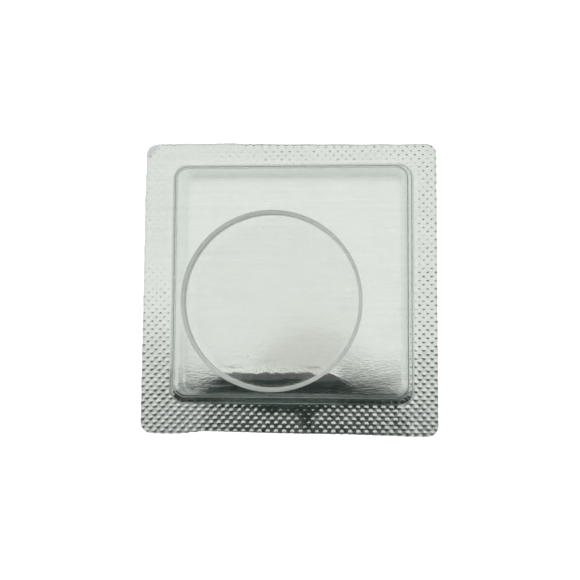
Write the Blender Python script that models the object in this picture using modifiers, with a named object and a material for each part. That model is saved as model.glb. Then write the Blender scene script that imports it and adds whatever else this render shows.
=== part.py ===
"""Spare watch glass in its sealed, peel-open square blister.

Frame: metres, +Z up. The foil lid lies flat on the plane z = 0, the origin is the
centre of the pack's outline, +X runs across the wide side and +Y towards the back.
A round, flat watch glass lies loose on the foil, inside the cavity of a clear
thermoformed cover. The cover's flange is heat-sealed to the foil. It peels up from
the clipped back left corner and turns about its right-hand edge.
"""
import math

import bmesh
import bpy

# Watch glass: a flat round disc with a ground edge.
GLASS_DIAMETER = 0.0310
GLASS_THICKNESS = 0.0019
GLASS_BEVEL_WIDTH = 0.00065
GLASS_BEVEL_DROP = 0.00045
GLASS_FOOT_CHAMFER = 0.00015

# Cavity: room around and over the glass, measured on the cover's inner side.
PLAY_ACROSS = 0.0095
PLAY_ALONG = 0.0092
HEAD_ROOM = 0.0031
GLASS_GAP_LEFT = 0.00132
GLASS_GAP_FRONT = 0.00161

# Cover: one clear sheet, formed into a dome with leaning walls.
FILM_THICKNESS = 0.0003
WALL_LEAN = math.radians(13.0)
SHOULDER_RADIUS = 0.0008
FOOT_RADIUS = 0.00045
DOME_CORNER_RADIUS = 0.0022

# Sealed border around the dome, from the dome's foot to the pack's edge.
SEAL_LEFT = 0.0053
SEAL_RIGHT = 0.0043
SEAL_FRONT = 0.0055
SEAL_BACK = 0.0041
PACK_CORNER_RADIUS = 0.0020

# Foil lid: the depth that its embossing takes up, and its cut-off corner.
FOIL_THICKNESS = 0.00025
FOIL_CORNER_CLIP = 0.0028

# Clearances between pieces.
SEAL_GAP = 0.00005
GLASS_REST_GAP = 0.00005

# Steps of the round stretches.
CORNER_STEPS = 8
FILLET_STEPS = 5
GLASS_STEPS = 96
SMOOTH_ANGLE = math.radians(35.0)
MERGE_DISTANCE = 0.00001

# Sizes that follow from the ones above.
CAVITY_WIDTH = GLASS_DIAMETER + PLAY_ACROSS
CAVITY_DEPTH = GLASS_DIAMETER + PLAY_ALONG
DOME_WIDTH = CAVITY_WIDTH + 2 * FILM_THICKNESS
DOME_DEPTH = CAVITY_DEPTH + 2 * FILM_THICKNESS
DOME_HEIGHT = GLASS_THICKNESS + HEAD_ROOM + FILM_THICKNESS
PACK_WIDTH = SEAL_LEFT + DOME_WIDTH + SEAL_RIGHT
PACK_DEPTH = SEAL_FRONT + DOME_DEPTH + SEAL_BACK
DOME_CENTRE = ((SEAL_LEFT - SEAL_RIGHT) / 2, (SEAL_FRONT - SEAL_BACK) / 2)
GLASS_CENTRE = (
    DOME_CENTRE[0] - CAVITY_WIDTH / 2 + GLASS_GAP_LEFT + GLASS_DIAMETER / 2,
    DOME_CENTRE[1] - CAVITY_DEPTH / 2 + GLASS_GAP_FRONT + GLASS_DIAMETER / 2,
)


def clear_scene():
    for old in list(bpy.data.objects):
        bpy.data.objects.remove(old, do_unlink=True)


def make_collection(name):
    collection = bpy.data.collections.new(name)
    bpy.context.scene.collection.children.link(collection)
    return collection


def make_material(name, colour, roughness, metallic=0.0, transmission=0.0):
    material = bpy.data.materials.new(name)
    material.use_nodes = True
    shader = material.node_tree.nodes["Principled BSDF"]
    shader.inputs["Base Color"].default_value = (*colour, 1.0)
    shader.inputs["Roughness"].default_value = roughness
    shader.inputs["Metallic"].default_value = metallic
    shader.inputs["Transmission Weight"].default_value = transmission
    return material


def add_object(name, bm, collection, material=None):
    """Put a bmesh into a new object of the collection."""
    bmesh.ops.recalc_face_normals(bm, faces=bm.faces)
    mesh = bpy.data.meshes.new(name)
    bm.to_mesh(mesh)
    bm.free()
    made = bpy.data.objects.new(name, mesh)
    collection.objects.link(made)
    if material:
        mesh.materials.append(material)
    return made


def add_axis_empty(name, place, collection):
    """An empty that marks where a moving piece turns or slides."""
    empty = bpy.data.objects.new(name, None)
    empty.location = place
    empty.empty_display_size = PACK_WIDTH / 10
    collection.objects.link(empty)
    return empty


def rounded_rectangle(width, depth, radius, centre=(0.0, 0.0)):
    """Points of a rectangle with round corners, counterclockwise from the right."""
    points = []
    for corner in range(4):
        middle = math.radians(45 + 90 * corner)
        corner_x = centre[0] + math.copysign(width / 2 - radius, math.cos(middle))
        corner_y = centre[1] + math.copysign(depth / 2 - radius, math.sin(middle))
        for step in range(CORNER_STEPS + 1):
            turn = math.radians(90 * corner + 90 * step / CORNER_STEPS)
            points.append((corner_x + radius * math.cos(turn),
                           corner_y + radius * math.sin(turn)))
    return points


def add_ring(bm, points, height):
    """A closed loop of edges at one height."""
    verts = [bm.verts.new((x, y, height)) for x, y in points]
    return [bm.edges.new((verts[i - 1], verts[i])) for i in range(len(verts))]


def dome_profile():
    """The dome's outer side as (inset from the foot outline, height) pairs.

    A hollow fillet leaves the flange, the wall leans inwards, and a round
    shoulder turns it into the flat top.
    """
    turning = math.pi / 2 - WALL_LEAN
    foot_reach = FOOT_RADIUS * math.tan(turning / 2)
    shoulder_reach = SHOULDER_RADIUS * math.tan(turning / 2)
    top_inset = (DOME_HEIGHT - FILM_THICKNESS) * math.tan(WALL_LEAN)
    profile = []
    for step in range(FILLET_STEPS + 1):
        turn = turning * step / FILLET_STEPS
        profile.append((FOOT_RADIUS * math.sin(turn) - foot_reach,
                        FILM_THICKNESS + FOOT_RADIUS * (1 - math.cos(turn))))
    for step in range(FILLET_STEPS + 1):
        turn = WALL_LEAN + turning * step / FILLET_STEPS
        profile.append((top_inset + shoulder_reach - SHOULDER_RADIUS * math.cos(turn),
                        DOME_HEIGHT - SHOULDER_RADIUS * (1 - math.sin(turn))))
    return profile


def build_foil_lid(parts, cutters):
    """The flat foil, with the back left corner clipped so that the cover can be gripped."""
    bm = bmesh.new()
    outline = rounded_rectangle(PACK_WIDTH, PACK_DEPTH, PACK_CORNER_RADIUS)
    bm.faces.new([bm.verts.new((x, y, 0.0)) for x, y in outline])
    foil = add_object("foil_lid", bm, parts,
                      make_material("silver_foil", (0.80, 0.81, 0.81), 0.28, metallic=1.0))
    solid = foil.modifiers.new("foil_thickness", "SOLIDIFY")
    solid.thickness = FOIL_THICKNESS
    solid.offset = 1.0

    block = bmesh.new()
    side = FOIL_CORNER_CLIP * math.sqrt(2)
    bmesh.ops.create_cube(block, size=1.0)
    bmesh.ops.scale(block, verts=block.verts, vec=(side, side, 10 * FOIL_THICKNESS))
    cutter = add_object("corner_clip_cutter", block, cutters)
    cutter.location = (-PACK_WIDTH / 2, PACK_DEPTH / 2, FOIL_THICKNESS / 2)
    cutter.rotation_euler = (0.0, 0.0, math.radians(45))
    cutter.display_type = "WIRE"
    cutter.hide_render = True
    clip = foil.modifiers.new("corner_clip", "BOOLEAN")
    clip.operation = "DIFFERENCE"
    clip.object = cutter
    return foil


def build_blister_cover(parts):
    """The clear cover: outer rings joined into one open sheet, which Solidify thickens inwards."""
    bm = bmesh.new()
    rings = [add_ring(bm, rounded_rectangle(PACK_WIDTH, PACK_DEPTH, PACK_CORNER_RADIUS),
                      FILM_THICKNESS)]
    profile = dome_profile()
    wall_top_inset = profile[FILLET_STEPS + 1][0]
    for inset, height in profile:
        radius = DOME_CORNER_RADIUS + max(0.0, -inset) - max(0.0, inset - wall_top_inset)
        outline = rounded_rectangle(DOME_WIDTH - 2 * inset, DOME_DEPTH - 2 * inset,
                                    radius, DOME_CENTRE)
        rings.append(add_ring(bm, outline, height))
    for outer, inner in zip(rings, rings[1:]):
        bmesh.ops.bridge_loops(bm, edges=outer + inner)
    bmesh.ops.contextual_create(bm, geom=rings[-1])
    for face in bm.faces:
        face.smooth = True
    cover = add_object("blister_cover", bm, parts,
                       make_material("clear_film", (0.86, 0.92, 0.93), 0.05, transmission=1.0))
    cover.data.set_sharp_from_angle(angle=SMOOTH_ANGLE)
    wall = cover.modifiers.new("film_thickness", "SOLIDIFY")
    wall.thickness = FILM_THICKNESS
    wall.offset = -1.0
    wall.use_even_offset = True

    peel_line = (PACK_WIDTH / 2, 0.0, FOIL_THICKNESS)
    cover.parent = add_axis_empty("cover_peel_line", peel_line, parts)
    cover.location = (-peel_line[0], 0.0, SEAL_GAP)
    return cover


def build_watch_glass(parts):
    """A turned disc: flat faces, a wide bevel above, a ground edge and a small chamfer below."""
    radius = GLASS_DIAMETER / 2
    profile = [
        (0.0, GLASS_THICKNESS),
        (radius - GLASS_BEVEL_WIDTH, GLASS_THICKNESS),
        (radius, GLASS_THICKNESS - GLASS_BEVEL_DROP),
        (radius, GLASS_FOOT_CHAMFER),
        (radius - GLASS_FOOT_CHAMFER, 0.0),
        (0.0, 0.0),
    ]
    mesh = bpy.data.meshes.new("watch_glass")
    edges = [(i, i + 1) for i in range(len(profile) - 1)]
    mesh.from_pydata([(x, 0.0, z) for x, z in profile], edges, [])
    mesh.materials.append(
        make_material("mineral_glass", (0.93, 0.96, 0.95), 0.03, transmission=1.0))
    glass = bpy.data.objects.new("watch_glass", mesh)
    parts.objects.link(glass)
    turned = glass.modifiers.new("turned_disc", "SCREW")
    turned.axis = "Z"
    turned.steps = GLASS_STEPS
    turned.render_steps = GLASS_STEPS
    turned.use_merge_vertices = True
    turned.merge_threshold = MERGE_DISTANCE
    turned.use_smooth_shade = False

    glass.parent = add_axis_empty("glass_slide_line",
                                  (*GLASS_CENTRE, FOIL_THICKNESS + GLASS_REST_GAP), parts)
    return glass


def main():
    clear_scene()
    parts = make_collection("sealed_watch_glass_pack")
    cutters = make_collection("cutters")
    build_foil_lid(parts, cutters)
    build_blister_cover(parts)
    build_watch_glass(parts)


main()
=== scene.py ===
# Spare watch glass in its sealed foil blister: the looks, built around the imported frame.
import math

import bpy
import numpy as np
from mathutils import Matrix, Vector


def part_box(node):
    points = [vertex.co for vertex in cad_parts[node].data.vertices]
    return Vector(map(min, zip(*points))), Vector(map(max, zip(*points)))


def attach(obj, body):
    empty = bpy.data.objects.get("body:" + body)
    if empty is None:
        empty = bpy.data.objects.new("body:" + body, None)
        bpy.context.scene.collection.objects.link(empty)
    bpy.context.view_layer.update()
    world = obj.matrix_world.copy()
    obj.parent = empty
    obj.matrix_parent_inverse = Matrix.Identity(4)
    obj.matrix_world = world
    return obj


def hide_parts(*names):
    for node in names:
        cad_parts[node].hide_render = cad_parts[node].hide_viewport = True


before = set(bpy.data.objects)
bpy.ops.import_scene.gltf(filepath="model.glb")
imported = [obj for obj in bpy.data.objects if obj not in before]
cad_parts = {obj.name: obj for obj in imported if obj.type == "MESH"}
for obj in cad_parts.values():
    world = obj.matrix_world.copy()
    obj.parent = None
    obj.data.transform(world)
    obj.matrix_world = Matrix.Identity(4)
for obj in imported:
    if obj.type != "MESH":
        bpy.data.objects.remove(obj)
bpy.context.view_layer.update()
mm = 0.001
foilLow, foilHigh = (np.array(c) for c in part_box("foil_lid"))
coverLow, coverHigh = (np.array(c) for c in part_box("blister_cover"))
glassLow, glassHigh = (np.array(c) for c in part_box("watch_glass"))
print("frame loaded, pack", np.round((coverHigh - coverLow) / mm, 2), "mm")


def smoothRamp(x, low, high):
    # 0 below low, 1 above high, and 3t^2 - 2t^3 in between
    t = np.clip((x - low) / (high - low), 0.0, 1.0)
    return t * t * (3 - 2 * t)


def ripple(x, y, seed, longest, count=7):
    # a smooth random field: a few sine waves with random headings, added and divided by the root of
    # their number, whose wave lengths run from longest down to a third of it
    rng = np.random.default_rng(seed)
    total = np.zeros_like(x)
    for _ in range(count):
        heading, phase = rng.uniform(0, 2 * math.pi, 2)
        wave = 2 * math.pi / (longest * rng.uniform(0.33, 1.0))
        total += np.sin(wave * (x * math.cos(heading) + y * math.sin(heading)) + phase)
    return total / math.sqrt(count)


def outline(low, high, radius, side, corner):
    # a rectangle with round corners, counterclockwise from its right side: each corner is a quarter
    # circle, centre + radius * (cos, sin), and each side is cut evenly
    points = []
    for k in range(4):
        turn = math.pi / 2 * (k + np.arange(corner + 1) / corner)
        sign = np.array([(1, 1), (-1, 1), (-1, -1), (1, -1)][k])
        centre = np.where(sign > 0, high, low) - sign * radius
        points.append(centre + radius * np.stack([np.cos(turn), np.sin(turn)], 1))
    rows = []
    for k in range(4):
        here, then = points[k], points[(k + 1) % 4]
        t = np.arange(1, side) / side
        rows += [here, here[-1] + (then[0] - here[-1]) * t[:, None]]
    return np.concatenate(rows)


def fullTurn(count):
    # the angles of evenly spaced points once round a circle
    return 2 * math.pi * np.arange(count) / count


def ringFaces(rows, columns, first=0, flip=False):
    # quads between the rows of a closed grid, row after row
    r, c = np.meshgrid(np.arange(rows - 1), np.arange(columns), indexing="ij")
    here, beside = r * columns + c, r * columns + (c + 1) % columns
    quads = np.stack([here, beside, beside + columns, here + columns], -1).reshape(-1, 4) + first
    return quads[:, ::-1] if flip else quads


def poleFaces(row, columns, pole, flip=False):
    # triangles from the last row to one middle point
    c = np.arange(columns)
    fan = np.stack([row + c, row + (c + 1) % columns, np.full(columns, pole)], 1)
    return fan[:, ::-1] if flip else fan


def makePiece(name, points, faces, body, replaced, materials, sharpAngle=None, marks=None):
    mesh = bpy.data.meshes.new(name)
    mesh.from_pydata(points.tolist(), [], faces)
    for material in materials:
        mesh.materials.append(material)
    mesh.shade_smooth()
    if sharpAngle:
        mesh.set_sharp_from_angle(angle=math.radians(sharpAngle))
    for label, values in (marks or {}).items():
        mesh.attributes.new(label, "FLOAT", "POINT").data.foreach_set("value", values.astype(np.float32))
    mesh.update()
    piece = bpy.data.objects.new(name, mesh)
    bpy.context.scene.collection.objects.link(piece)
    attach(piece, body)
    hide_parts(replaced)
    print(name, len(mesh.vertices), "points,", len(mesh.polygons), "faces")
    return piece


def newGroup(name, inputs, outputs):
    group = bpy.data.node_groups.new(name, "ShaderNodeTree")
    for label, kind, value in inputs:
        socket = group.interface.new_socket(name=label, in_out="INPUT", socket_type=kind)
        socket.default_value = value
    for label, kind in outputs:
        group.interface.new_socket(name=label, in_out="OUTPUT", socket_type=kind)
    return group, group.nodes.new("NodeGroupInput"), group.nodes.new("NodeGroupOutput")


def addNode(tree, kind, values=None, **settings):
    node = tree.nodes.new(kind)
    for key, value in settings.items():
        setattr(node, key, value)
    for key, value in (values or {}).items():
        node.inputs[key].default_value = value
    return node


def addMath(tree, operation, first, second=None, clamp=False):
    node = addNode(tree, "ShaderNodeMath", operation=operation, use_clamp=clamp)
    for k, value in enumerate((first, second)):
        if value is None:
            continue
        if isinstance(value, (int, float)):
            node.inputs[k].default_value = value
        else:
            tree.links.new(value, node.inputs[k])
    return node.outputs[0]


def rolledGrainGroup():
    # fine lines that the mill's rollers leave along X, in two widths, broken by a slower mottle
    group, into, out = newGroup("rolledGrain", [
        ("Vector", "NodeSocketVector", (0, 0, 0)), ("Line Width", "NodeSocketFloat", 0.12 * mm),
        ("Stretch", "NodeSocketFloat", 30.0)],
        [("Lines", "NodeSocketFloat"), ("Mottle", "NodeSocketFloat")])
    links = group.links
    parts = addNode(group, "ShaderNodeSeparateXYZ")
    links.new(into.outputs["Vector"], parts.inputs[0])
    found = []
    for widening in (1.0, 3.5):
        width = addMath(group, "MULTIPLY", into.outputs["Line Width"], widening)
        x = addMath(group, "DIVIDE", parts.outputs["X"], width)
        x = addMath(group, "DIVIDE", x, into.outputs["Stretch"])
        y = addMath(group, "DIVIDE", parts.outputs["Y"], width)
        joined = addNode(group, "ShaderNodeCombineXYZ")
        links.new(x, joined.inputs["X"])
        links.new(y, joined.inputs["Y"])
        noise = addNode(group, "ShaderNodeTexNoise", {"Scale": 1.0, "Detail": 3.0, "Roughness": 0.6})
        links.new(joined.outputs[0], noise.inputs["Vector"])
        found.append(noise.outputs["Fac"])
    both = addMath(group, "ADD", found[0], found[1])
    links.new(addMath(group, "MULTIPLY", both, 0.5), out.inputs["Lines"])
    mottle = addNode(group, "ShaderNodeTexNoise", {"Scale": 180.0, "Detail": 4.0, "Roughness": 0.55})
    links.new(into.outputs["Vector"], mottle.inputs["Vector"])
    links.new(mottle.outputs["Fac"], out.inputs["Mottle"])
    return group


handling = dict(
    scratchTurn=0.6,                   # radians off X
    scratchStretch=(1.6, 60.0, 1.0),   # how much finer the noise is along, across and up
    scratchLevel=0.74,                 # noise above this is a scratch
    patchLevel=0.56,                   # and only where a slower noise is above this
    speckRadius=0.07,                  # share of a cell
    speckChoice=0.86,                  # cells whose random red is above this hold a speck
)


def handlingGroup():
    # what handling leaves on a shiny face: thin scratches in scattered patches, specks and finger haze
    group, into, out = newGroup("handlingMarks", [
        ("Vector", "NodeSocketVector", (0, 0, 0)), ("Scratch Size", "NodeSocketFloat", 9 * mm),
        ("Speck Size", "NodeSocketFloat", 1.1 * mm)],
        [("Scratches", "NodeSocketFloat"), ("Specks", "NodeSocketFloat"), ("Haze", "NodeSocketFloat")])
    links = group.links
    scaled = addNode(group, "ShaderNodeVectorMath", operation="SCALE")
    links.new(into.outputs["Vector"], scaled.inputs[0])
    links.new(addMath(group, "DIVIDE", 1.0, into.outputs["Scratch Size"]), scaled.inputs["Scale"])
    drawn = addNode(group, "ShaderNodeMapping", {"Rotation": (0, 0, handling["scratchTurn"]),
                                                 "Scale": handling["scratchStretch"]})
    links.new(scaled.outputs[0], drawn.inputs["Vector"])
    lines = addNode(group, "ShaderNodeTexNoise", {"Scale": 1.0, "Detail": 1.0})
    links.new(drawn.outputs[0], lines.inputs["Vector"])
    thin = addMath(group, "GREATER_THAN", lines.outputs["Fac"], handling["scratchLevel"])
    patch = addNode(group, "ShaderNodeTexNoise", {"Scale": 0.9, "Detail": 1.0})
    links.new(scaled.outputs[0], patch.inputs["Vector"])
    inPatch = addMath(group, "GREATER_THAN", patch.outputs["Fac"], handling["patchLevel"])
    links.new(addMath(group, "MULTIPLY", thin, inPatch), out.inputs["Scratches"])
    cells = addNode(group, "ShaderNodeTexVoronoi", {"Scale": 1.0, "Randomness": 1.0})
    speckSpace = addNode(group, "ShaderNodeVectorMath", operation="SCALE")
    links.new(into.outputs["Vector"], speckSpace.inputs[0])
    links.new(addMath(group, "DIVIDE", 1.0, into.outputs["Speck Size"]), speckSpace.inputs["Scale"])
    links.new(speckSpace.outputs[0], cells.inputs["Vector"])
    chosen = addNode(group, "ShaderNodeSeparateColor")
    links.new(cells.outputs["Color"], chosen.inputs[0])
    small = addMath(group, "LESS_THAN", cells.outputs["Distance"], handling["speckRadius"])
    few = addMath(group, "GREATER_THAN", chosen.outputs[0], handling["speckChoice"])
    links.new(addMath(group, "MULTIPLY", small, few), out.inputs["Specks"])
    haze = addNode(group, "ShaderNodeTexNoise", {"Scale": 1.1, "Detail": 3.0, "Roughness": 0.6})
    links.new(scaled.outputs[0], haze.inputs["Vector"])
    links.new(haze.outputs["Fac"], out.inputs["Haze"])
    return group


rolledGrain = rolledGrainGroup()
handlingMarks = handlingGroup()


def newMaterial(name):
    material = bpy.data.materials.new(name)
    material.use_nodes = True
    tree = material.node_tree
    place = addNode(tree, "ShaderNodeTexCoord")
    return material, tree, tree.nodes["Principled BSDF"], place.outputs["Object"]


def useGroup(tree, group, vector, values=None):
    node = addNode(tree, "ShaderNodeGroup")
    node.node_tree = group
    for key, value in (values or {}).items():
        node.inputs[key].default_value = value
    tree.links.new(vector, node.inputs["Vector"])
    return node


def spread(tree, source, low, high, fromLow=0.0, fromHigh=1.0):
    # a mask turned into a value between low and high
    node = addNode(tree, "ShaderNodeMapRange", {"From Min": fromLow, "From Max": fromHigh,
                                                "To Min": low, "To Max": high})
    tree.links.new(source, node.inputs["Value"])
    return node.outputs[0]


def mixColours(tree, mask, low, high):
    # from the colour low where the mask is 0 to the colour high where it is 1
    node = addNode(tree, "ShaderNodeMix", data_type="RGBA")
    node.inputs[6].default_value = (*low, 1)
    node.inputs[7].default_value = (*high, 1)
    tree.links.new(mask, node.inputs[0])
    return node.outputs[2]


def dimmer(colour, share):
    # a colour's red, green and blue, all scaled by the same share
    return [c * share for c in colour]


def addBump(tree, height, distance, strength, before=None):
    node = addNode(tree, "ShaderNodeBump", {"Distance": distance, "Strength": strength})
    tree.links.new(height, node.inputs["Height"])
    if before:
        tree.links.new(before, node.inputs["Normal"])
    return node.outputs[0]


foil = dict(
    gauge=0.05 * mm,           # thickness of the visible sheet
    ceiling=0.249 * mm,        # no bump stands higher
    sealWidths=(5.3 * mm, 4.3 * mm, 5.5 * mm, 4.1 * mm),   # left, right, front, back
    footRadius=2.2 * mm,       # corners of the dome's foot line
    cornerRadius=2.0 * mm,
    clip=2.7 * mm,             # the cut-off corner
    # the grid: fine cells across and along, those kept at the left, right, front and back edges, and
    # how many of them one coarse cell of the plain window is wide
    cells=(320, 316), sealCells=(32, 28, 72, 28), coarse=4,
    # how far the cut edge lies inside the pack's box, at places along each side, all in mm
    cutLeft=((-25, 0.0), (-10, 0.05), (0, 0.15), (15, 0.15), (20, 0.3)),
    cutRight=((-25, 0.0), (-12, 0.05), (20, 0.08)),
    cutFront=((-25, 0.15), (-19, 0.1), (-14.5, 0.6), (-8, 0.5), (0, 0.35), (10, 0.3), (16, 0.15),
              (21, 0.0)),
    cutBack=((-25, 0.05), (-12, 0.0), (0, 0.2), (12, 0.32), (25, 0.4)),
    ragged=0.13 * mm, raggedLength=1.1 * mm,   # how rough the cut is, and the length of its teeth
    # the sealed border: top of the sheet between the knurl's bumps, and at the front, with the stretch
    # in which it sinks to that
    sealLevel=0.11 * mm, frontLevel=0.06 * mm, frontFall=(9 * mm, 18 * mm),
    sealStart=0.35 * mm,       # about where the knurl begins, beside the dome's foot
    knurlAcross=1.39 * mm,     # bump to bump in a row
    knurlAlong=1.40 * mm,      # every second row
    knurlHeight=0.098 * mm,
    knurlFoot=0.24,            # share of the cosine product where a bump starts
    knurlUneven=0.14,
    buckle=0.018 * mm,         # waves of the whole border, and more of them in spots
    buckleEven=0.25, buckleSpots=(((15, -24), (9, 4)), ((0, -23), (6, 2))),   # centre and reach in mm
    # how deep the knurl is pressed, from 0 to 1: at the middle, and what front and back add
    pressMiddle=0.74, pressFront=0.26, pressBack=0.36, pressRipple=0.10, pressMost=1.2,
    frontStretch=(8 * mm, 20 * mm), backStretch=(2 * mm, 20 * mm),   # where these two set in
    # lost beside the dome's foot, except at the front; on the left, with what is lost there besides
    # behind the corner; and on the right, in front of the middle; each with where it sets in
    pressFootLoss=0.22, footStretch=(0.5 * mm, 2.8 * mm), footEnd=(14 * mm, 19 * mm),
    pressLeftLoss=(0.20, 0.12), leftStretch=(12 * mm, 19 * mm), leftCorner=(-20 * mm, -14 * mm),
    pressRightLoss=0.15, rightStretch=(17 * mm, 21 * mm), rightFront=(0, 8 * mm),
    faintSpots=(((-23, 4), (7, 8), 0.35), ((-14, 24), (10, 4), 0.2)),   # centre, reach and loss
    smoothSpots=(((-0.5, -20.5), (10.5, 1.5), 0.96), ((3.2, -22.7), (1.9, 2.2), 0.75)),
    # the window: the sheet's top under the cavity, the strip in which it rises to that, and the height
    # and length of its two waves
    windowLevel=0.19 * mm, windowEdge=1.1 * mm,
    slowWave=(0.004 * mm, 24 * mm), fineWave=(0.0004 * mm, 1.8 * mm),
    creaseEnds=(-11.6 * mm, 8.7 * mm), creaseLine=-14.65 * mm, creaseFade=1.2 * mm,
    creaseRise=0.036 * mm, creaseReach=1.2 * mm, creaseSharp=0.1 * mm,
    creaseTorn=0.3, tornLength=0.6 * mm,   # how unevenly it stands up
    creaseTeeth=(0.10 * mm, 0.8 * mm), creaseSway=(0.12 * mm, 5 * mm),   # depth and length of its teeth
    # past its ends the fold is rounder and lies further forward, with soft ends before and after them
    creaseSoft=0.9 * mm, creaseTurn=3.2 * mm, foldLeft=(4.5 * mm, 1.5 * mm), foldRight=(2.5 * mm, 5 * mm),
    fall=0.027, sideFall=0.005,   # slope of the window's front strip below the crease, and past its ends
    colour=(0.885, 0.905, 0.865), darkStreak=0.88, roughness=(0.065, 0.085),
    lineWidth=0.20 * mm, lineStretch=40.0, lineDepth=0.0009 * mm,
    wrinkleScale=(1700, 4200, 1700), wrinkleDepth=0.008 * mm,
    # added where the lacquer has flowed, with the distances from the dome's foot and the pressures
    # between which that sets in
    sealRoughness=0.11, lacquerStart=(0.5 * mm, 1.1 * mm), lacquerPress=(0.1, 0.6),
)
left, right, front, back = foil["sealWidths"]
footLow = coverLow[:2] + (left, front)
footHigh = coverHigh[:2] - (right, back)
footCentre = (footLow + footHigh) / 2


def footDistance(x, y):
    # how far a point lies outside the dome's foot line, negative inside it
    half, r = (footHigh - footLow) / 2, foil["footRadius"]
    dx = np.abs(x - footCentre[0]) - (half[0] - r)
    dy = np.abs(y - footCentre[1]) - (half[1] - r)
    return np.hypot(np.maximum(dx, 0), np.maximum(dy, 0)) + np.minimum(np.maximum(dx, dy), 0) - r


def cutUnevenly(x, y):
    # moves the border's points towards the dome, by what the cut takes off at the edge and in
    # proportion to their distance from the foot line
    def taken(side, along):
        stations = np.array(foil["cut" + side]) * mm
        return np.interp(along, stations[:, 0], stations[:, 1])
    west, east = np.clip((footLow[0] - x) / left, 0, 1), np.clip((x - footHigh[0]) / right, 0, 1)
    south, north = np.clip((footLow[1] - y) / front, 0, 1), np.clip((y - footHigh[1]) / back, 0, 1)
    return (x + west * taken("Left", y) - east * taken("Right", y),
            y + south * taken("Front", x) - north * taken("Back", x))


def bell(x, y, centre, reach):
    # 1 at the centre, and exp(-(dx^2 + dy^2)) away from it, each in units of its reach
    dx = (x / mm - centre[0]) / reach[0]
    dy = (y / mm - centre[1]) / reach[1]
    return np.exp(-dx ** 2 - dy ** 2)


def sealPressure(x, y):
    # how deep the knurl is pressed: deepest at the front and the back, lighter along the dome's foot, on
    # the left and at the right side's front, faint in two spots, and almost gone in a strip along the
    # dome's front and in a small spot before it
    pressed = foil["pressMiddle"] + foil["pressFront"] * smoothRamp(-y, *foil["frontStretch"])
    pressed = pressed + foil["pressBack"] * smoothRamp(y, *foil["backStretch"])
    nearFoot = 1 - smoothRamp(footDistance(x, y), *foil["footStretch"])
    pressed = pressed * (1 - foil["pressFootLoss"] * nearFoot * (1 - smoothRamp(-y, *foil["footEnd"])))
    for centre, reach, missing in foil["faintSpots"]:
        pressed = pressed * (1 - missing * bell(x, y, centre, reach))
    corner, behind = foil["pressLeftLoss"]
    leftLoss = corner + behind * smoothRamp(y, *foil["leftCorner"])
    pressed = pressed * (1 - leftLoss * smoothRamp(-x, *foil["leftStretch"]))
    rightLoss = foil["pressRightLoss"] * smoothRamp(x, *foil["rightStretch"])
    pressed = pressed * (1 - rightLoss * smoothRamp(-y, *foil["rightFront"]))
    pressed = pressed * (1 + foil["pressRipple"] * ripple(x, y, 5, 6 * mm))
    for centre, reach, missing in foil["smoothSpots"]:
        pressed = pressed * (1 - missing * bell(x, y, centre, reach))
    return np.clip(pressed, 0, foil["pressMost"])


def windowHeight(x, y):
    # the sheet under the cavity: it falls away towards the front, f(t) = (sqrt(t^2 + s^2) - t) / 2 times
    # the slope, from a ragged crease that stands up as exp(-|t| / reach) between its two ends
    start, end = foil["creaseEnds"]
    fade = foil["creaseFade"]
    along = smoothRamp(x, start - fade, start + fade) * (1 - smoothRamp(x, end - fade, end + fade))
    leftOut, leftIn = foil["foldLeft"]
    rightIn, rightOut = foil["foldRight"]
    wide = smoothRamp(x, start - leftOut, start + leftIn)
    wide = wide * (1 - smoothRamp(x, end - rightIn, end + rightOut))
    ragged = sum(depth * ripple(x, 0 * x, seed, length)
                 for seed, (depth, length) in ((31, foil["creaseTeeth"]), (37, foil["creaseSway"])))
    t = y - foil["creaseLine"] - ragged * along + foil["creaseTurn"] * (1 - wide)
    soft = foil["creaseSoft"] + (foil["creaseSharp"] - foil["creaseSoft"]) * along
    torn = 1 + foil["creaseTorn"] * ripple(x, y, 33, foil["tornLength"])
    lift = foil["creaseRise"] * along * torn * np.exp(-np.abs(t) / foil["creaseReach"])
    (slow, slowLength), (fine, fineLength) = foil["slowWave"], foil["fineWave"]
    wave = slow * ripple(x, y, 11, slowLength) + fine * ripple(x * 0.5, y, 13, fineLength)
    fall = foil["sideFall"] + (foil["fall"] - foil["sideFall"]) * wide
    return foil["windowLevel"] - fall * (np.sqrt(t * t + soft * soft) - t) / 2 + lift + wave


def foilHeight(x, y):
    # under the seal the sheet is almost level and carries the knurl, round bumps where
    # cos(2 pi x / across) * cos(2 pi y / along) rises over a threshold
    out = footDistance(x, y)
    sealed = smoothRamp(out, foil["sealStart"] * 0.4, foil["sealStart"] * 2.2)
    cell = np.cos(2 * math.pi * x / foil["knurlAcross"]) * np.cos(2 * math.pi * y / foil["knurlAlong"])
    bump = smoothRamp(cell, foil["knurlFoot"], 1.0) * (1 + foil["knurlUneven"] * ripple(x, y, 7, 2.4 * mm))
    spots = sum((bell(x, y, centre, reach) for centre, reach in foil["buckleSpots"]), foil["buckleEven"])
    buckle = foil["buckle"] * ripple(x, y, 17, 5 * mm) * spots
    base = foil["sealLevel"] - (foil["sealLevel"] - foil["frontLevel"]) * smoothRamp(-y, *foil["frontFall"])
    seal = base + foil["knurlHeight"] * sealed * sealPressure(x, y) * bump + buckle
    inside = smoothRamp(-out, 0.0, foil["windowEdge"])
    return np.clip(seal + (windowHeight(x, y) - seal) * inside, foil["gauge"], foil["ceiling"])


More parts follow.
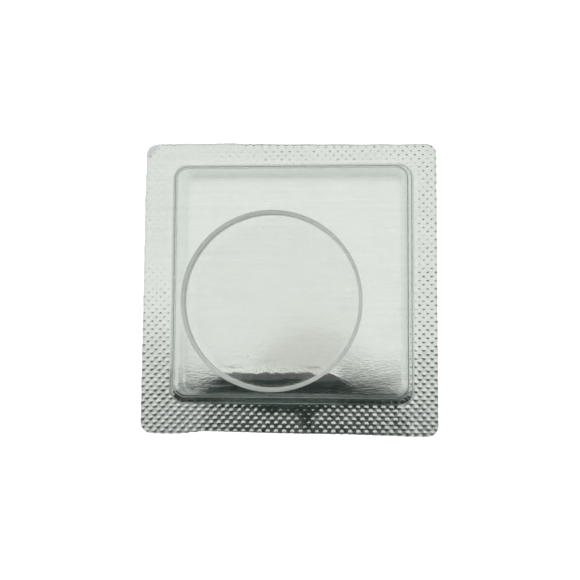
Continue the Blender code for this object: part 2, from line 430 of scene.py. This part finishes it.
def trimCorners(x, y):
    # draws a square grid's corners in to the trimmed outline: with u and v from 0 to 1 across a corner,
    # u is scaled by sqrt(1 - v^2 / 2) at a round corner and by 1 - v / 2 at the clipped one, and v by u
    for sx, sy, clipped in ((1, 1, False), (-1, 1, True), (-1, -1, False), (1, -1, False)):
        size = foil["clip"] if clipped else foil["cornerRadius"]
        cx = (foilHigh[0] if sx > 0 else foilLow[0]) - sx * size
        cy = (foilHigh[1] if sy > 0 else foilLow[1]) - sy * size
        u = np.maximum(sx * (x - cx) / size, 0)
        v = np.maximum(sy * (y - cy) / size, 0)
        byV = 1 - v / 2 if clipped else np.sqrt(1 - v * v / 2)
        byU = 1 - u / 2 if clipped else np.sqrt(1 - u * u / 2)
        x = np.where(u > 0, cx + sx * size * u * byV, x)
        y = np.where(v > 0, cy + sy * size * v * byU, y)
    return x, y


def buildFoil(material):
    # a grid over the whole lid, fine under the seal and coarse in the window's plain part; its outer row
    # is drawn in a little, unevenly, as a cut edge is
    across, along = foil["cells"]
    i, j = np.meshgrid(np.arange(across + 1), np.arange(along + 1))
    x = foilLow[0] + (foilHigh[0] - foilLow[0]) * i / across
    y = foilLow[1] + (foilHigh[1] - foilLow[1]) * j / along
    edge = (i == 0) | (i == across) | (j == 0) | (j == along)
    x, y = trimCorners(x, y)
    inset = edge * foil["ragged"] * np.clip(0.5 + 0.6 * ripple(x, y, 41, foil["raggedLength"]), 0, 1)
    onSide = np.abs(x) > np.abs(y)   # the left or the right edge
    x, y = cutUnevenly(x - np.sign(x) * inset * onSide, y - np.sign(y) * inset * ~onSide)
    west, east, south, north = foil["sealCells"]
    east, north, step = across - east, along - north, foil["coarse"]
    hole = (i > west) & (i < east) & (j > south) & (j < north)
    kept = ~hole | (((i - west) % step == 0) & ((j - south) % step == 0))
    index = np.where(kept, np.cumsum(kept.ravel()).reshape(kept.shape) - 1, -1)
    quads = np.stack([index[:-1, :-1], index[:-1, 1:], index[1:, 1:], index[1:, :-1]], -1)
    fine = ~((i[:-1, :-1] >= west) & (i[:-1, :-1] < east) & (j[:-1, :-1] >= south) & (j[:-1, :-1] < north))
    faces = quads[fine].tolist()
    # each coarse cell takes the points round it that exist, so it meets the fine cells without a gap
    steps = np.arange(step)
    ringI = np.concatenate([steps, 0 * steps + step, step - steps, 0 * steps])
    ringJ = np.concatenate([0 * steps, steps, 0 * steps + step, step - steps])
    a, b = np.meshgrid(np.arange(west, east, step), np.arange(south, north, step))
    rings = index[b.reshape(-1, 1) + ringJ, a.reshape(-1, 1) + ringI]
    faces += [ring[ring >= 0].tolist() for ring in rings]
    x, y = x[kept], y[kept]
    height = foilHeight(x, y)
    top = np.column_stack([x, y, height])
    bottom = np.column_stack([x, y, height - foil["gauge"]])
    count = len(x)
    faces += [[k + count for k in reversed(f)] for f in faces]
    rim = np.concatenate([index[0, :-1], index[:-1, -1], index[-1, :0:-1], index[:0:-1, 0]])
    after = np.roll(rim, -1)
    faces += np.column_stack([after, rim, rim + count, after + count]).tolist()
    sealed = smoothRamp(footDistance(x, y), *foil["lacquerStart"])
    sealed = sealed * smoothRamp(sealPressure(x, y), *foil["lacquerPress"])
    makePiece("foilLid", np.concatenate([top, bottom]), faces, "foil", "foil_lid",
              [material], 60, {"sealed": np.tile(sealed, 2)})


def foilMaterial():
    material, tree, shader, place = newMaterial("silverFoil")
    grain = useGroup(tree, rolledGrain, place, {"Line Width": foil["lineWidth"],
                                                "Stretch": foil["lineStretch"]})
    marks = useGroup(tree, handlingMarks, place, {"Scratch Size": 14 * mm})
    shader.inputs["Metallic"].default_value = 1.0
    # the thin sheet's own leathery wrinkles, longer across than they are deep
    stretch = addNode(tree, "ShaderNodeMapping", {"Scale": foil["wrinkleScale"]})
    wrinkle = addNode(tree, "ShaderNodeTexNoise", {"Scale": 1.0, "Detail": 2.5, "Roughness": 0.6})
    tree.links.new(place, stretch.inputs["Vector"])
    tree.links.new(stretch.outputs[0], wrinkle.inputs["Vector"])
    streaks = addMath(tree, "ADD", spread(tree, grain.outputs["Lines"], 0, 0.6, 0.3, 0.7),
                      spread(tree, grain.outputs["Mottle"], 0, 0.2, 0.35, 0.65))
    streaks = addMath(tree, "ADD", streaks, spread(tree, wrinkle.outputs["Fac"], 0, 0.3, 0.35, 0.65))
    tint = mixColours(tree, streaks, dimmer(foil["colour"], foil["darkStreak"]), foil["colour"])
    tree.links.new(tint, shader.inputs["Base Color"])
    rough = addMath(tree, "ADD", spread(tree, grain.outputs["Lines"], *foil["roughness"], 0.3, 0.7),
                    spread(tree, marks.outputs["Haze"], 0.0, 0.03, 0.45, 0.7))
    sealed = addNode(tree, "ShaderNodeAttribute", attribute_name="sealed").outputs["Fac"]
    rough = addMath(tree, "ADD", rough, spread(tree, sealed, 0.0, foil["sealRoughness"]))
    tree.links.new(rough, shader.inputs["Roughness"])
    wrinkled = addBump(tree, wrinkle.outputs["Fac"], foil["wrinkleDepth"], 1.0)
    lined = addBump(tree, grain.outputs["Lines"], foil["lineDepth"], 0.5, wrinkled)
    tree.links.new(lined, shader.inputs["Normal"])
    return material


buildFoil(foilMaterial())


film = dict(
    gauge=0.3 * mm,
    drawnGauge=0.18 * mm,     # where forming has stretched it
    wallLean=13.0,            # degrees off upright
    shoulderRadius=0.8 * mm,
    footFillet=0.45 * mm,
    cornerRadius=2.2 * mm,
    trimRadius=2.0 * mm,
    trimBack=0.10 * mm,       # how far its cut edge lies inside the foil's
    topMargin=2 * mm,         # from the foot line in to where the top begins to sag
    topSag=0.10 * mm,         # how far the middle of the top lies below its rim
    topWave=0.006 * mm,       # height of the waves in the top
    side=64, corner=18, filletSteps=10, wallSteps=7, topRows=22, flangeRows=8,
    tint=(0.905, 0.918, 0.908), roughness=(0.01, 0.03), ior=1.53,
    scratchRoughness=0.25, hazeDepth=0.02 * mm,
    # the film's deeper colour where it stands on edge, at full strength in the front wall, where it is
    # painted shade;
    # with what is left of it in the side and back walls, at the trimmed edge, and what the front wall's two
    # ends lose
    edgeTintAndPaintedShade=(0.54, 0.61, 0.59), sideDepth=0.24, trimDepth=0.5, cornerPale=0.6,
    frontReach=(1.5 * mm, 4 * mm),      # how far behind the foot's front the side walls' depth sets in
    cornerReach=(13 * mm, 19 * mm),     # how far from the middle the front wall pales
)


def domeProfile():
    # inset from the foot line and height of the outer skin: a hollow fillet, a leaning wall and a round
    # shoulder, with radius * (sin, cos) along each round stretch
    lean = math.radians(film["wallLean"])
    turning = math.pi / 2 - lean
    base, top = coverLow[2] + film["gauge"], coverHigh[2]
    footReach = film["footFillet"] * math.tan(turning / 2)
    shoulderReach = film["shoulderRadius"] * math.tan(turning / 2)
    inset = (top - base) * math.tan(lean)
    s = turning * np.linspace(0, 1, film["filletSteps"])
    foot = np.stack([film["footFillet"] * np.sin(s) - footReach,
                     base + film["footFillet"] * (1 - np.cos(s))], 1)
    shoulder = np.stack([inset + shoulderReach - film["shoulderRadius"] * np.cos(lean + s),
                         top - film["shoulderRadius"] * (1 - np.sin(lean + s))], 1)
    wall = foot[-1] + (shoulder[0] - foot[-1]) * np.linspace(0, 1, film["wallSteps"])[1:-1, None]
    return np.concatenate([foot, wall, shoulder])


def skinRows():
    # the outer skin as rings of points, from the trimmed edge nearly to the middle of the top, with each
    # ring's height and how many rings the flange and the dome's side take
    profile = domeProfile()
    shoulderStart = profile[-film["filletSteps"], 0]
    steps = film["side"], film["corner"]
    dome = []
    for inset in profile[:, 0]:
        radius = film["cornerRadius"] + max(0.0, -inset) - max(0.0, inset - shoulderStart)
        dome.append(outline(footLow + inset, footHigh - inset, radius, *steps))
    trim = outline(coverLow[:2], coverHigh[:2], film["trimRadius"], *steps)
    trim = np.stack(cutUnevenly(trim[:, 0], trim[:, 1]), 1)
    uneven = 1 + 0.4 * ripple(trim[:, :1], trim[:, 1:], 43, 7 * mm)
    trim = trim * (1 - film["trimBack"] / coverHigh[0] * uneven)
    t = np.linspace(0, 1, film["flangeRows"] + 1)[:-1, None, None]
    flange = trim + (dome[0] - trim) * t
    shrink = 1 - (np.arange(1, film["topRows"]) / film["topRows"])[:, None, None]
    top = footCentre + (dome[-1] - footCentre) * shrink
    flat = np.concatenate([flange, np.array(dome), top])
    heights = np.concatenate([np.full(len(flange), profile[0, 1]), profile[:, 1],
                              np.full(len(top), profile[-1, 1])])
    return flat, heights, len(flange), len(profile)


def edgeTintAndShadeDepth(flat, flangeCount, profileCount):
    # how deep the film's colour looks: 1 in the front wall, where it is painted shade, less at its ends, in
    # the other walls and at the trimmed edge, where it is the film's edge-on tint, and 0 where the film
    # lies flat
    row = np.arange(len(flat))[:, None] - flangeCount
    wall = smoothRamp(row, -1, 3) * (1 - smoothRamp(row, profileCount - 4, profileCount))
    wall = wall + film["trimDepth"] * (row == -flangeCount)
    fromFront = flat[..., 1] - footLow[1]
    fromMiddle = np.abs(flat[..., 0] - footCentre[0])
    wall = wall * (1 - (1 - film["sideDepth"]) * smoothRamp(fromFront, *film["frontReach"]))
    atFront = fromFront < film["frontReach"][1]
    return wall * (1 - film["cornerPale"] * smoothRamp(fromMiddle, *film["cornerReach"]) * atFront)


def buildCover(material):
    # the top sags towards its middle: share runs from 0 at its rim to 1 there
    flat, heights, flangeCount, profileCount = skinRows()
    rows, columns = flat.shape[:2]
    z = np.repeat(heights[:, None], columns, 1)
    halfTop = (footHigh - footLow).min() / 2 - film["topMargin"]
    share = np.clip(1 - np.abs(flat - footCentre).max(-1) / halfTop, 0, 1)
    onTop = np.zeros((rows, 1))
    onTop[flangeCount + profileCount:] = 1
    z = z - onTop * film["topSag"] * smoothRamp(share, 0, 0.9)
    wave = 1 + ripple(flat[..., 0], flat[..., 1], 23, 14 * mm)
    z = z - onTop * film["topWave"] * wave * smoothRamp(share, 0, 0.3)
    skin = np.concatenate([flat, z[..., None]], -1)
    # the inner skin is the outer one moved along its own normal by the gauge, less where it was drawn
    ahead = np.roll(skin, -1, 1) - np.roll(skin, 1, 1)
    down = np.gradient(skin, axis=0)
    normal = np.cross(ahead, down)
    normal /= np.linalg.norm(normal, axis=-1, keepdims=True) + 1e-12
    drawn = smoothRamp(np.arange(rows), flangeCount, flangeCount + film["filletSteps"])[:, None, None]
    inner = skin - (film["gauge"] + (film["drawnGauge"] - film["gauge"]) * drawn) * normal
    inner[0, :, :2] = skin[0, :, :2]
    inner[:flangeCount, :, 2] = coverLow[2]
    pole = np.array([[*footCentre, skin[-1, :, 2].mean()]])
    under = pole - (0, 0, film["drawnGauge"])
    points = np.concatenate([skin.reshape(-1, 3), inner.reshape(-1, 3), pole, under])
    count = rows * columns
    c = np.arange(columns)
    rim = np.column_stack([(c + 1) % columns, c, c + count, (c + 1) % columns + count])
    faces = np.concatenate([ringFaces(rows, columns), ringFaces(rows, columns, count, True), rim]).tolist()
    faces += poleFaces(count - columns, columns, 2 * count).tolist()
    faces += poleFaces(2 * count - columns, columns, 2 * count + 1, True).tolist()
    # the wall mark: the film's edge-on tint, with painted shade on the front wall
    wall = np.concatenate([np.tile(edgeTintAndShadeDepth(flat, flangeCount, profileCount).ravel(), 2), [0, 0]])
    makePiece("blisterCover", points, faces, "cover", "blister_cover",
              [material], 40, {"wall": wall})


def filmMaterial():
    material, tree, shader, place = newMaterial("clearFilm")
    marks = useGroup(tree, handlingMarks, place, {"Scratch Size": 8 * mm, "Speck Size": 1.6 * mm})
    # the wall mark darkens the film's colour: its edge-on tint, and painted shade on the front wall
    wall = addNode(tree, "ShaderNodeAttribute", attribute_name="wall").outputs["Fac"]
    tree.links.new(mixColours(tree, wall, film["tint"], film["edgeTintAndPaintedShade"]), shader.inputs["Base Color"])
    shader.inputs["Transmission Weight"].default_value = 1.0
    shader.inputs["IOR"].default_value = film["ior"]
    rough = addMath(tree, "ADD", spread(tree, marks.outputs["Haze"], *film["roughness"], 0.4, 0.75),
                    addMath(tree, "MULTIPLY", marks.outputs["Scratches"], film["scratchRoughness"]))
    tree.links.new(rough, shader.inputs["Roughness"])
    tree.links.new(addBump(tree, marks.outputs["Haze"], film["hazeDepth"], 0.25), shader.inputs["Normal"])
    return material


buildCover(filmMaterial())


glass = dict(
    bevelWidth=0.65 * mm, bevelDrop=0.45 * mm, footChamfer=0.15 * mm, edgeRound=0.06 * mm,
    around=288, faceRings=10, tint=(1.0, 1.0, 0.995), ior=1.52,
    speckRoughness=0.3,
    rimColour=(0.93, 0.97, 0.92), rimDark=0.9, rimRoughness=(0.5, 0.72),
    rimClear=0.42,             # share of the light that gets through the ground face
    rimPaintedGlow=0.165,          # painted glow, standing in for light that it hands on from inside
    rimGrain=9000.0, rimMottle=350.0, rimGrainDepth=0.01 * mm,   # waves to a metre, and height
)


def roundedCorners(points, radius, steps=5):
    # a polyline whose inner corners are rounded, each by the quadratic curve
    # (1 - t)^2 start + 2 t (1 - t) corner + t^2 end
    out = [points[0]]
    for a, b, c in zip(points, points[1:], points[2:]):
        start = b + (a - b) / np.linalg.norm(a - b) * radius
        end = b + (c - b) / np.linalg.norm(c - b) * radius
        t = np.linspace(0, 1, steps)[:, None]
        out += list((1 - t) ** 2 * start + 2 * t * (1 - t) * b + t ** 2 * end)
    return np.array(out + [points[-1]])


def buildGlass(polished, ground):
    # a profile of (radius, height) pairs turned once round the glass's axis
    centre = (glassLow + glassHigh) / 2
    radius = (glassHigh[0] - glassLow[0]) / 2
    low, high = glassLow[2], glassHigh[2]
    corners = np.array([
        (radius - 2 * glass["bevelWidth"], high), (radius - glass["bevelWidth"], high),
        (radius, high - glass["bevelDrop"]), (radius, low + glass["footChamfer"]),
        (radius - glass["footChamfer"], low), (radius - 2 * glass["bevelWidth"], low)])
    edge = roundedCorners(corners, glass["edgeRound"])
    face = np.linspace(0, corners[0, 0], glass["faceRings"])[1:-1]
    profile = np.concatenate([np.column_stack([face, np.full(len(face), high)]), edge,
                              np.column_stack([face[::-1], np.full(len(face), low)])])
    rows, columns = len(profile), glass["around"]
    turn = fullTurn(columns)
    rings = np.stack([centre[0] + profile[:, :1] * np.cos(turn), centre[1] + profile[:, :1] * np.sin(turn),
                      np.repeat(profile[:, 1:], columns, 1)], -1)
    poles = [[centre[0], centre[1], high], [centre[0], centre[1], low]]
    points = np.concatenate([rings.reshape(-1, 3), poles])
    faces = ringFaces(rows, columns, flip=True).tolist()
    faces += poleFaces(0, columns, rows * columns).tolist()
    faces += poleFaces((rows - 1) * columns, columns, rows * columns + 1, True).tolist()
    piece = makePiece("watchGlass", points, faces, "glass", "watch_glass",
                      [polished, ground], 30)
    # the bevel and the rim are ground, the rest is polished
    middle = (profile[:-1] + profile[1:]) / 2
    isRim = middle[:, 0] > radius - glass["bevelWidth"] - 0.2 * glass["edgeRound"]
    isRim &= middle[:, 1] > low + 0.1 * glass["edgeRound"]
    slots = np.zeros(len(faces), np.int32)
    slots[: (rows - 1) * columns] = np.repeat(isRim.astype(np.int32), columns)
    piece.data.polygons.foreach_set("material_index", slots)


def polishedMaterial():
    material, tree, shader, place = newMaterial("polishedGlass")
    marks = useGroup(tree, handlingMarks, place, {"Scratch Size": 11 * mm, "Speck Size": 2.2 * mm})
    shader.inputs["Base Color"].default_value = (*glass["tint"], 1)
    shader.inputs["Transmission Weight"].default_value = 1.0
    shader.inputs["IOR"].default_value = glass["ior"]
    rough = spread(tree, marks.outputs["Specks"], 0.0, glass["speckRoughness"])
    tree.links.new(rough, shader.inputs["Roughness"])
    return material


def groundMaterial():
    material, tree, shader, place = newMaterial("groundGlass")
    grain = addNode(tree, "ShaderNodeTexNoise", {"Scale": glass["rimGrain"], "Detail": 3.0})
    tree.links.new(place, grain.inputs["Vector"])
    slow = addNode(tree, "ShaderNodeTexNoise", {"Scale": glass["rimMottle"], "Detail": 3.0})
    tree.links.new(place, slow.inputs["Vector"])
    shader.inputs["Transmission Weight"].default_value = glass["rimClear"]
    shader.inputs["IOR"].default_value = glass["ior"]
    # painted glow: the ground rim emits its own colour, standing in for light scattered in through it
    shader.inputs["Emission Color"].default_value = (*glass["rimColour"], 1)
    shader.inputs["Emission Strength"].default_value = glass["rimPaintedGlow"]
    mottle = spread(tree, slow.outputs["Fac"], 0, 1, 0.35, 0.65)
    tint = mixColours(tree, mottle, dimmer(glass["rimColour"], glass["rimDark"]), glass["rimColour"])
    tree.links.new(tint, shader.inputs["Base Color"])
    rough = spread(tree, grain.outputs["Fac"], *glass["rimRoughness"], 0.3, 0.7)
    tree.links.new(rough, shader.inputs["Roughness"])
    bumpy = addBump(tree, grain.outputs["Fac"], glass["rimGrainDepth"], 0.6)
    tree.links.new(bumpy, shader.inputs["Normal"])
    return material


buildGlass(polishedMaterial(), groundMaterial())


studio = dict(
    around=96, bendSteps=17, cardAround=48,   # points round a circle, up the floor's bend, round a card
    floorRadius=1.1, wallHeight=0.55, bend=0.25,
    floorColour=(0.93, 0.93, 0.93), floorGlow=0.80,
    dimmed=0.10,               # share of the glow that is left in a reflection
    seeThrough=0.22,           # how much more of it is left behind a clear piece
    world=(0.70, 0.71, 0.705),
    boxWide=1.30, boxDeep=0.78, boxFront=-0.032, boxHeight=0.45, boxRadiance=0.355,
    ringRadius=0.85, ringHeights=(0.06, 0.42), ringColour=(0.42, 0.43, 0.42),
    flagBack=-0.09, flagDepth=0.30, flagWide=0.7, flagColour=(0.035, 0.042, 0.037),
    flagLow=0.9,               # height of its front edge, as a share of the soft box's
    visorLeft=-39 * mm, visorRight=31 * mm, visorBack=-20 * mm, visorFront=-180 * mm,
    visorHeight=160 * mm, visorCorner=12 * mm, visorColour=(0.018, 0.036, 0.032),
    lipBack=-17.6 * mm, lipColour=(0.24, 0.26, 0.25),
    greyColour=(0.505, 0.50, 0.475), greyGlow=0.56,
    # oval cards, just over the visor: centre, half width and half depth in mm, and whether it is grey
    cards=dict(domeCard=(-2, -25, 22, 24, True), handCard=(-50, -11, 10, 9, True),
               sideCard=(-43, -24, 13, 4, False)),
    cardLift=1 * mm,
    cameraTilt=84.5, cameraTurn=39.0, cameraDistance=157 * mm, lens=56.8, aim=(0.16 * mm, -0.40 * mm),
    roll=0.32,
)


def plainMaterial(name, colour, roughness=0.9, glow=0.0):
    material, _, shader, _ = newMaterial(name)
    shader.inputs["Base Color"].default_value = (*colour, 1)
    shader.inputs["Roughness"].default_value = roughness
    shader.inputs["Emission Color"].default_value = (1, 1, 1, 1)
    shader.inputs["Emission Strength"].default_value = glow
    return material


def stagePiece(name, points, faces, material):
    # of the stage only the floor is seen: the rest is there to be mirrored
    mesh = bpy.data.meshes.new(name)
    mesh.from_pydata(np.asarray(points).tolist(), [], faces)
    mesh.materials.append(material)
    mesh.shade_smooth()
    made = bpy.data.objects.new(name, mesh)
    bpy.context.scene.collection.objects.link(made)
    made.visible_camera = name == "floor"


def buildFloor():
    # a round table top that bends up into a low wall: radius and height follow a quarter circle
    s = np.linspace(0, math.pi / 2, studio["bendSteps"])
    bend, edge, around = studio["bend"], studio["floorRadius"], studio["around"]
    radius = np.concatenate([[edge * 0.3, edge - bend], edge - bend + bend * np.sin(s[1:]), [edge]])
    height = np.concatenate([[0, 0], bend * (1 - np.cos(s[1:])), [studio["wallHeight"]]])
    turn = fullTurn(around)
    rings = np.stack([radius[:, None] * np.cos(turn), radius[:, None] * np.sin(turn),
                      np.repeat(height[:, None], around, 1)], -1).reshape(-1, 3)
    points = np.concatenate([rings, [[0, 0, 0]]])
    faces = ringFaces(len(radius), around, flip=True).tolist() + poleFaces(0, around, len(rings)).tolist()
    # its glow is whole where the camera sees it, about a third of that behind a clear piece, and a tenth
    # of it in a reflection
    paper = plainMaterial("paleFloor", studio["floorColour"])
    tree = paper.node_tree
    path = addNode(tree, "ShaderNodeLightPath")
    bounces = addMath(tree, "ADD", path.outputs["Glossy Depth"], path.outputs["Diffuse Depth"])
    unmirrored = addMath(tree, "SUBTRACT", 1.0, bounces, clamp=True)
    seen = spread(tree, path.outputs["Is Camera Ray"], studio["dimmed"], 1 - studio["seeThrough"])
    seen = addMath(tree, "ADD", seen, addMath(tree, "MULTIPLY", unmirrored, studio["seeThrough"]))
    glow = addMath(tree, "MULTIPLY", seen, studio["floorGlow"])
    tree.links.new(glow, tree.nodes["Principled BSDF"].inputs["Emission Strength"])
    stagePiece("floor", points, faces, paper)


def buildRing():
    # a grey band that stands all round the set, above the floor
    turn, around = fullTurn(studio["around"]), studio["around"]
    circle = studio["ringRadius"] * np.column_stack([np.cos(turn), np.sin(turn)])
    rings = [np.column_stack([circle, np.full(around, height)]) for height in studio["ringHeights"]]
    stagePiece("greyRing", np.concatenate(rings), ringFaces(2, around, flip=True).tolist(),
               plainMaterial("ringCloth", studio["ringColour"]))


def levelCard(name, edge, height, material):
    # a level card that faces down, with its outline's points at one height
    points = np.column_stack([edge, np.full(len(edge), height)])
    stagePiece(name, points, [list(range(len(edge)))[::-1]], material)


def buildCards():
    # dark cards that give the foil something dark to mirror: a wide flag in front of the soft box, a
    # visor that reaches over the object's front edge, with a paler lip, and oval cards just over it
    half, top = studio["flagWide"] / 2, studio["boxHeight"]
    drop, far = top * studio["flagLow"], studio["flagBack"]
    near = far - studio["flagDepth"]
    flag = [(-half, near, drop), (half, near, drop), (half, far, top), (-half, far, top)]
    stagePiece("frontFlag", flag, [(3, 2, 1, 0)], plainMaterial("flagCloth", studio["flagColour"]))
    dark = plainMaterial("darkCard", studio["visorColour"])
    grey = plainMaterial("greyCard", studio["greyColour"], glow=studio["greyGlow"])
    west, east, south, north = (studio["visor" + side] for side in ("Left", "Right", "Front", "Back"))
    height, lipNorth = studio["visorHeight"], studio["lipBack"]
    low, high = np.array([west, south]), np.array([east, north])
    levelCard("visor", outline(low, high, studio["visorCorner"], side=2, corner=8), height, dark)
    levelCard("visorLip", [(west, north), (east, north), (east, lipNorth), (west, lipNorth)], height,
              plainMaterial("lipCard", studio["lipColour"]))
    turn = fullTurn(studio["cardAround"])
    for name, (x, y, wide, deep, isGrey) in studio["cards"].items():
        oval = np.column_stack([x + wide * np.cos(turn), y + deep * np.sin(turn)]) * mm
        levelCard(name, oval, height + studio["cardLift"], grey if isGrey else dark)


def addSoftbox(name, place, width, depth, radiance):
    # an area light that looks straight down
    light = bpy.data.lights.new(name, "AREA")
    light.shape = "RECTANGLE"
    light.size, light.size_y = width, depth
    light.energy = radiance * width * depth * math.pi
    made = bpy.data.objects.new(name, light)
    made.location = place
    bpy.context.scene.collection.objects.link(made)


def buildLight():
    world = bpy.data.worlds.new("paleRoom")
    world.use_nodes = True
    bpy.context.scene.world = world
    world.node_tree.nodes["Background"].inputs[0].default_value = (*studio["world"], 1)
    deep = studio["boxDeep"]
    place = (0.0, studio["boxFront"] + deep / 2, studio["boxHeight"])
    addSoftbox("topBox", place, studio["boxWide"], deep, studio["boxRadiance"])


def buildCamera():
    # the camera looks down from a tilt above the horizon, turned from the front towards the right
    camera = bpy.data.cameras.new("camera")
    camera.lens = studio["lens"]
    camera.clip_start = 0.005
    made = bpy.data.objects.new("camera", camera)
    tilt, turn = math.radians(studio["cameraTilt"]), math.radians(studio["cameraTurn"])
    away = np.array([math.cos(tilt) * math.sin(turn), -math.cos(tilt) * math.cos(turn), math.sin(tilt)])
    made.location = np.array([*studio["aim"], 0.0]) + away * studio["cameraDistance"]
    bpy.context.scene.collection.objects.link(made)
    # right is level across the frame's +X, and the frame's +Y points up the picture
    right = np.cross(-away, (0, 1, 0))
    right /= np.linalg.norm(right)
    up = np.cross(right, -away)
    roll = math.radians(studio["roll"])
    x = right * math.cos(roll) + up * math.sin(roll)
    y = up * math.cos(roll) - right * math.sin(roll)
    made.rotation_euler = Matrix((x, y, away)).transposed().to_euler()
    bpy.context.scene.camera = made


buildFloor()
buildRing()
buildCards()
buildLight()
buildCamera()
bpy.context.scene.view_settings.view_transform = "Standard"
bpy.context.scene.cycles.use_denoising = True
print("stage ready")
